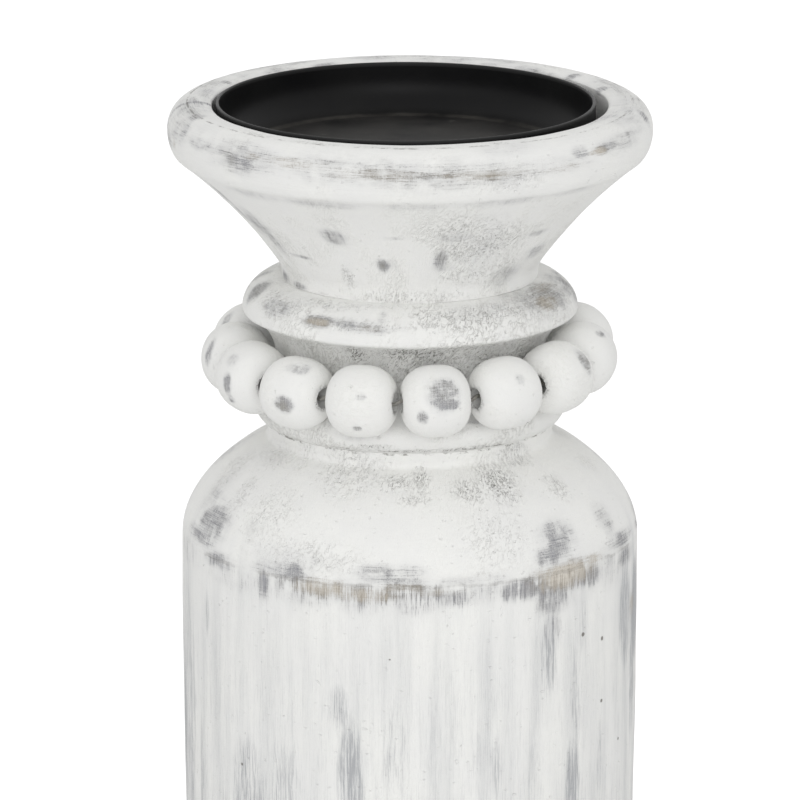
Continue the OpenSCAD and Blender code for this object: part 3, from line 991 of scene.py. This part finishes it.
def string(name, points, thickness, closed):
    """One ply or a short piece of string along the points, as a tube."""
    curve = bpy.data.curves.new(name, "CURVE")
    curve.dimensions = "3D"
    curve.bevel_depth = thickness / 2
    curve.bevel_resolution = 2
    curve.use_fill_caps = not closed
    spline = curve.splines.new("POLY")
    spline.points.add(len(points) - 1)
    spline.points.foreach_set("co", [x for p in points for x in (*p, 1.0)])
    spline.use_cyclic_u = closed
    piece = bpy.data.objects.new(name, curve)
    bpy.context.collection.objects.link(piece)
    return piece


def coil(ring, radius, turns, start, end, steps):
    """Points that wind round the strand's ring from one angle to another."""
    points = []
    for k in range(steps):
        angle = start + (end - start) * k / steps
        twist = math.tau * turns * k / steps
        out = ring + radius * math.cos(twist)
        local = Vector((out * math.cos(angle), out * math.sin(angle), radius * math.sin(twist)))
        points.append(strand_place @ local)
    return points


def make_cord():
    """Three plies that lie on each other and wind round the line of the loop, and a knot."""
    plies = 3
    ply_thick = 1.0 * MM
    knot_thick = 1.2 * MM
    tail_thick = 0.9 * MM
    twists = 58
    local = [strand_place.inverted() @ v.co for v in frame["nodes"]["bead_cord"].data.vertices]
    ring = float(np.median([math.hypot(p.x, p.y) for p in local]))
    loop = coil(ring, ply_thick / 2, twists, start=0, end=math.tau, steps=twists * 10)
    parts = [string("ply", loop, ply_thick, closed=True) for _ in range(plies)]
    # The knot: three tight turns and two short tails tucked along the string
    knot = (Vector(spins["bead_08"]["pos_m"]) + Vector(spins["bead_09"]["pos_m"])) / 2
    seat = strand_place.inverted() @ knot
    angle = math.atan2(seat.y, seat.x)
    half_knot = 1.6 * MM / ring
    turns = coil(ring, 1.1 * MM, 3, start=angle - half_knot, end=angle + half_knot, steps=48)
    parts.append(string("knot", turns, knot_thick, closed=False))
    for side in (-1, 1):
        start, end = angle + side * half_knot, angle + side * 3.2 * half_knot
        tail = coil(ring, 1.45 * MM, 0.2, start, end, steps=10)
        parts.append(string("tail", tail, tail_thick, closed=False))
    choose(*parts)
    bpy.ops.object.convert(target="MESH")
    bpy.ops.object.join()
    cord = bpy.context.object
    cord.name = "cotton_cord"
    bpy.ops.object.shade_smooth()
    return cord


cord = make_cord()
dress(cord, cotton(), "strand", "cotton_cord", "bead_cord")


# ---------------------------------------------------------------- beads
# Fifteen turned wooden balls, bored through, dipped in the same grey and white and rubbed in
# spots. One is turned, and the others are its copies, each with its own place and wear.
def bead_place(bead):
    """Turns the lathe's axis into the bead's bore and moves the bead to its place."""
    place = Vector(spins[bead]["pos_m"])
    bore = Vector(spins[bead]["axis"]).normalized()
    out = (place - strand_middle).normalized()
    matrix = Matrix((out, bore.cross(out), bore)).transposed().to_4x4()
    matrix.translation = place
    return matrix


def fill_out(bead):
    """Fills out a turned ball a little towards a barrel."""
    place = points_of(bead.data)
    radius = np.hypot(place[:, 0], place[:, 1])
    skin = radius > radius.min() + 0.1 * MM
    across = radius / radius.max()
    along = np.abs(place[:, 2]) / np.linalg.norm(place, axis=1).max()
    power = 2.2
    grow = np.sqrt(across**2 + along**2) / (across**power + along**power) ** (1 / power)
    place[skin] = place[skin] * grow[skin, None]
    bead.data.vertices.foreach_set("co", place.ravel())


# Dark bare wood inside the bores, made darker still with painted shade
def shaded_bore_wood():
    material, tree = start_finish("shaded_bore_wood")
    place = tree.node("TexCoord", output="Object")
    fuzz = place.stretched(1800, 1800).noise(3.0, 0.6)
    wood = fuzz.rise(0.35, 0.65).blend(colour(62, 50, 40), colour(120, 104, 88))
    return close_finish(material, tree, wood, 0.9, fuzz, 0.15 * MM)


# How far the paint's pattern moves on from one bead to the next, in millimetres
PATTERN_STEP = np.array([41.0, 29.0, 17.0])


def mark_bead(bead, number, matrix, spots):
    """Stores the bead's own pattern place and its rubbed spots.

    A spot is the direction in which it faces, as a turn from +X and a tilt above the level,
    in degrees, then half its width and half its height in millimetres, and its strength.
    """
    mesh = bead.data
    local = points_of(mesh) / MM
    own = local + PATTERN_STEP * number
    mesh.attributes["wrap"].data.foreach_set("vector", own.ravel())
    facing = local @ np.array(matrix.to_3x3()).T
    size = np.linalg.norm(facing, axis=1)
    facing = facing / size[:, None]
    turn = np.arctan2(facing[:, 1], facing[:, 0])
    tilt = np.arcsin(facing[:, 2])
    wear = np.zeros((len(local), len(WEAR)))
    rubbed, pitted = WEAR.index("rubbed"), WEAR.index("pitted")
    for middle, up, half_width, half_height, amount in spots:
        off = turn - math.radians(middle)
        across = np.arctan2(np.sin(off), np.cos(off)) * size * np.cos(tilt) / half_width
        upwards = (tilt - math.radians(up)) * size / half_height
        spot = amount * np.exp(-0.7 * (across**2 + upwards**2) ** 2)
        wear[:, rubbed] = np.maximum(wear[:, rubbed], spot)
    # The paint is chipped round the mouths of the bore
    radius = np.hypot(local[:, 0], local[:, 1])
    along = np.abs(local[:, 2])
    bore_end = along[radius < radius.min() + 0.3].max()
    from_mouth = np.hypot(radius - radius.min(), along - bore_end)
    chips = np.clip(1.2 - from_mouth / 1.1, 0, 1)
    wear[:, pitted] = chips
    mesh.attributes.new("wear", "FLOAT_COLOR", "POINT").data.foreach_set("color", wear.ravel())
    group = bead.vertex_groups.new(name="mouth")
    for i in np.nonzero(chips > 0.02)[0]:
        group.add([int(i)], float(chips[i]), "REPLACE")


# The spots that are rubbed on the beads in front, as mark_bead takes them
SPOTS = {
    1: [(-76, 24, 4.5, 4.6, 0.9), (-68, 8, 3.0, 1.6, 1.25), (-110, -12, 1.5, 1.8, 1.0)],
    2: [(-59, 34, 1.4, 1.6, 0.6)],
    3: [(-20, 33, 2.2, 3.6, 0.95)],
    4: [(-34, 50, 1.8, 1.2, 0.9)],
    11: [(-143, 38, 1.4, 3.0, 0.8)],
    12: [(-140, 18, 1.4, 4.0, 0.8)],
    13: [(-135, 38, 2.4, 2.0, 0.6), (-134, 0, 1.6, 3.0, 1.05), (-129, -26, 1.3, 1.2, 1.0)],
    14: [(-85, 54, 3.4, 2.2, 0.65), (-111, -6, 2.6, 2.2, 1.3)],
    15: [(-91, 21, 1.4, 0.9, 0.7), (-99, -34, 1.2, 1.0, 1.1)],
}
to_lathe = bead_place("bead_01").inverted()
lathe_bead = turned_copy(
    "bead_01", "lathe_bead", spacing=0.7 * MM, steps=72, core=0, on_lathe=to_lathe)
fill_out(lathe_bead)
# The line lies away from all beads, and they have the same brushwork all over
bead_brush = Brushwork(0.3, 0.3, 0.4, 0.2)
bead_paint = worn_paint(
    "bead_paint", turn_line=-99, above=bead_brush, below=bead_brush, spread=0.5, aged=0.8)
shaded_bore_finish = shaded_bore_wood()
bore_radius = min(math.hypot(v.co.x, v.co.y) for v in lathe_bead.data.vertices)
for face in lathe_bead.data.polygons:
    if math.hypot(face.center.x, face.center.y) < bore_radius + 0.1 * MM:
        face.material_index = 1
for number, name in enumerate(sorted(spins), start=1):
    bead = bpy.data.objects.new("wooden_" + name, lathe_bead.data.copy())
    bpy.context.collection.objects.link(bead)
    matrix = bead_place(name)
    hidden_side = scattered(50 + number, 2, (20, 160), (-50, 50), (1, 3.5), (1, 3.5), (0.5, 1.1))
    mark_bead(bead, number, matrix, SPOTS.get(number, []) + hidden_side)
    bead.data.transform(matrix)
    wrinkle(bead, "bead_shape", size=9 * MM, depth=0.16 * MM)
    wrinkle(bead, "chipped_mouth", size=1.1 * MM, depth=0.5 * MM)
    bead.modifiers["chipped_mouth"].vertex_group = "mouth"
    bead.modifiers["chipped_mouth"].mid_level = 0.7
    apply_modifiers(bead)
    bead.vertex_groups.clear()
    dress(bead, bead_paint, name, "bead_paint", name)
    bead.data.materials.append(shaded_bore_finish)
bpy.data.objects.remove(lathe_bead)


# ---------------------------------------------------------------- room
# A wide pale floor under a white surround, which lights the piece from all sides. Two soft
# lamps, which the camera doesn't see, add to it from the front and from the left.
def seen_directly(tree):
    """1 for what the camera sees directly, in a gloss or through glass, and else 0."""
    kinds = ("Is Camera Ray", "Is Glossy Ray", "Is Transmission Ray")
    camera, gloss, glass = [tree.node("LightPath", output=kind) for kind in kinds]
    return camera.math("MAXIMUM", gloss).math("MAXIMUM", glass)


def make_floor():
    choose()
    bpy.ops.mesh.primitive_plane_add(size=30, location=(0, 0, 0))
    floor = bpy.context.object
    floor.name = "floor"
    material, tree = start_finish("floor_paper")
    matt = tree.node("BsdfDiffuse", {"Color": (0.8, 0.8, 0.8, 1)})
    shine = 0.05 + seen_directly(tree) * 0.5
    glow = tree.node("Emission", {"Color": (1, 1, 1, 1), "Strength": shine})
    tree.node("OutputMaterial", {"Surface": tree.node("AddShader", {0: matt, 1: glow})})
    floor.data.materials.append(material)
    floor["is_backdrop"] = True


def make_world():
    world = bpy.data.worlds.new("studio")
    bpy.context.scene.world = world
    world.use_nodes = True
    world.node_tree.nodes.clear()
    tree = Socket(world.node_tree)
    # It lights the piece a little less than it shows
    strength = 0.74 + seen_directly(tree) * 0.26
    sky = tree.node("Background", {"Color": (1, 1, 1, 1), "Strength": strength})
    tree.node("OutputWorld", {"Surface": sky})


def add_lamp(name, place, aim, size, power):
    """A round soft lamp that shines from its place at the aim."""
    choose()
    bpy.ops.object.light_add(type="AREA", location=place)
    lamp = bpy.context.object
    lamp.name = name
    lamp.data.shape = "DISK"
    lamp.data.size = size
    lamp.data.energy = power
    lamp.visible_camera = False
    lamp.rotation_euler = (Vector(aim) - Vector(place)).to_track_quat("-Z", "Y").to_euler()


make_floor()
make_world()
low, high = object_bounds()
middle = (low + high) / 2
add_lamp("front_lamp", (0.3, -2.4, 0.95), aim=middle, size=2.0, power=14)
add_lamp("left_lamp", (-1.5, -1.9, 0.75), aim=middle, size=2.0, power=4)


# ---------------------------------------------------------------- camera
# The camera looks down a little on the bowl, from far off through a long lens. Its view ends
# above the foot.
def make_camera():
    sideways = -0.0026
    setback = 1.917
    above_rim = 0.4102
    tilt = math.radians(75.629)
    choose()
    bpy.ops.object.camera_add(
        location=(sideways, -setback, high.z + above_rim), rotation=(tilt, 0, 0))
    camera = bpy.context.object
    camera.data.lens = 337.6
    camera.data.sensor_width = 36
    camera.data.clip_end = 100
    bpy.context.scene.camera = camera


make_camera()
bpy.context.scene.view_settings.view_transform = "Standard"
